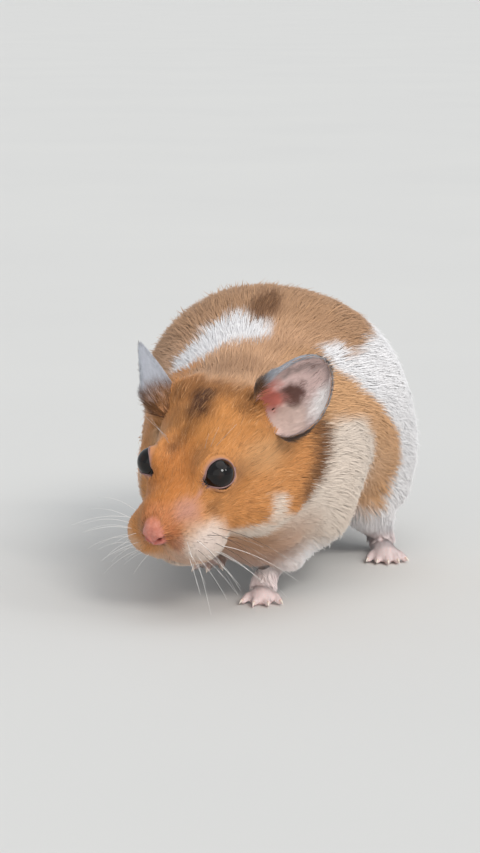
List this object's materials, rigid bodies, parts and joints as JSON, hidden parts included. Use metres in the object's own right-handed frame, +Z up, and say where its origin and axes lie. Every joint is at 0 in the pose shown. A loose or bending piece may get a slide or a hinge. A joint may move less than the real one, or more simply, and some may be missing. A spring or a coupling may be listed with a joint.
{
  "type": "syrian hamster",
  "caption": "Still figure of a Syrian hamster on its feet, head turned to its right, with one forefoot lifted under the chest.",
  "frame": {"origin": "on the floor, under the middle of the animal's bounding box", "axes": "+Z up; the animal faces -Y, so +Y runs towards the tail and +X is its left side"},
  "size_m": [0.0608, 0.115, 0.0615],
  "materials": {
    "fur_gold": "short golden fur, lying back along the body",
    "fur_cream": "short cream and tan fur",
    "fur_white": "short white fur",
    "ear_skin": "thin skin with a down of grey hair",
    "bare_skin": "thinly haired pink skin",
    "eye": "wet and glossy, nearly black"
  },
  "bodies": {
    "root": {"head": "fur_gold", "neck": "fur_gold", "torso": "fur_cream", "rump": "fur_gold", "tail": "bare_skin", "eye_left": "eye", "eye_right": "eye", "ear_left": "ear_skin", "ear_right": "ear_skin", "foreleg_left": "fur_white", "foreleg_right": "fur_white", "forefoot_left": "bare_skin", "forefoot_right": "bare_skin", "hindleg_left": "fur_white", "hindleg_right": "fur_white", "hindfoot_left": "bare_skin", "hindfoot_right": "bare_skin"}
  },
  "joints": []
}
